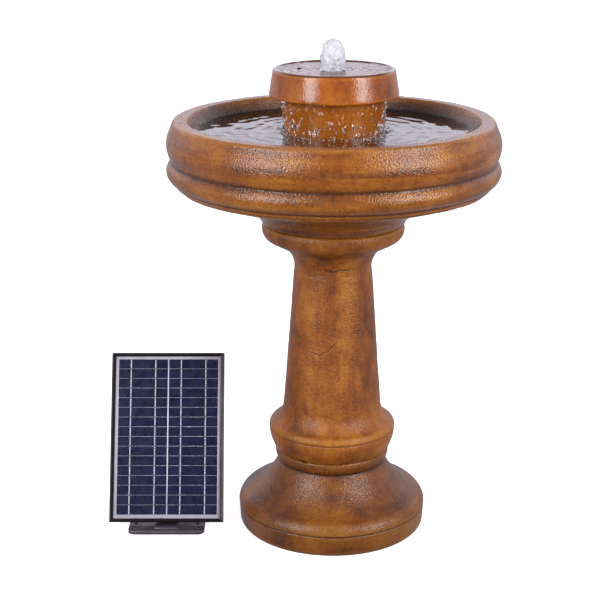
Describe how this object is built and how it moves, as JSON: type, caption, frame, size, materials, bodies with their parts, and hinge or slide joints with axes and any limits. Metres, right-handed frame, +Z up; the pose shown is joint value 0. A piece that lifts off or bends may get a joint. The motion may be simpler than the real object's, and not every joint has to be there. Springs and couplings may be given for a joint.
{
  "type": "bird bath",
  "caption": "Pedestal bird bath of cast stone with a bubbling flowerpot fountain head, a submerged pump and a free-standing tilting solar panel.",
  "frame": {"origin": "centre of the whole set's footprint, on the ground", "axes": "+Z up; -Y is the front, which the solar panel faces; the bird bath stands on the +X side"},
  "size_m": [0.6069, 0.5048, 0.745],
  "materials": {
    "cast_stone": "stained and sealed cast stone",
    "wet_stone": "wet stained cast stone",
    "black_plastic": "moulded, satin",
    "black_rubber": "matte",
    "panel_frame": "dark anodised, satin",
    "panel_glass": "clear",
    "panel_cells": "dark cells on a white sheet",
    "steel": "bright",
    "ceramic": "smooth",
    "magnet": "sintered",
    "water": "clear water"
  },
  "bodies": {
    "pedestal": {"base_casting": "cast_stone", "column_casting": "cast_stone"},
    "bowl": {"bowl_casting": "cast_stone", "cable_stopper": "black_rubber", "pump_housing": "black_plastic", "volute_cover": "black_plastic", "seal_ring": "black_rubber", "rotor_shaft": "ceramic", "front_bush": "black_rubber", "rear_bush": "black_rubber", "strainer_cover": "black_plastic", "riser_tube": "black_plastic", "pump_cable_gland": "black_rubber", "pump_foot_1": "black_rubber", "pump_foot_2": "black_rubber", "pump_foot_3": "black_rubber", "pump_foot_4": "black_rubber"},
    "head": {"fountain_head": "wet_stone", "head_plug": "black_rubber", "nozzle": "black_plastic", "nozzle_washer": "black_rubber", "nozzle_lock_nut": "black_plastic"},
    "impeller": {"impeller": "magnet"},
    "dial": {"flow_dial": "black_plastic"},
    "stand": {"stand_foot": "black_plastic", "hinge_bolt": "steel", "washer_right": "steel", "washer_left": "steel"},
    "panel": {"frame_bottom": "panel_frame", "frame_top": "panel_frame", "frame_left": "panel_frame", "frame_right": "panel_frame", "corner_key_1": "black_plastic", "corner_key_2": "black_plastic", "corner_key_3": "black_plastic", "corner_key_4": "black_plastic", "cover_glass": "panel_glass", "cell_laminate": "panel_cells", "junction_box": "black_plastic", "junction_box_lid": "black_plastic", "lid_screw_1": "steel", "lid_screw_2": "steel", "lid_screw_3": "steel", "lid_screw_4": "steel", "terminal_block": "ceramic", "panel_cable_gland": "black_rubber", "tilt_bracket": "black_plastic", "bracket_screw_1": "steel", "bracket_screw_2": "steel", "bracket_screw_3": "steel", "bracket_screw_4": "steel"},
    "wing_nut": {"wing_nut": "steel"}
  },
  "joints": [
    {"name": "bowl_lift", "type": "slide", "parent": "pedestal", "child": "bowl", "axis": [0, 0, 1], "range_m": [0, 0.08]},
    {"name": "head_lift", "type": "slide", "parent": "bowl", "child": "head", "axis": [0, 0, 1], "range_m": [0, 0.18]},
    {"name": "impeller_spin", "type": "hinge", "parent": "bowl", "child": "impeller", "pos_m": [0.051, 0, 0.582], "axis": [0, 1, 0], "continuous": true},
    {"name": "flow_dial_turn", "type": "hinge", "parent": "bowl", "child": "dial", "pos_m": [0.051, 0, 0.582], "axis": [0, 1, 0], "range_deg": [-45, 45]},
    {"name": "stand_slide", "type": "slide", "parent": "pedestal", "child": "stand", "axis": [-1, 0, 0], "range_m": [0, 0.3]},
    {"name": "panel_tilt", "type": "hinge", "parent": "stand", "child": "panel", "pos_m": [-0.213, -0.01219, 0.0355], "axis": [-1, 0, 0], "range_deg": [0, 60]},
    {"name": "wing_nut_turn", "type": "hinge", "parent": "stand", "child": "wing_nut", "pos_m": [-0.213, -0.01219, 0.0355], "axis": [1, 0, 0], "continuous": true}
  ]
}
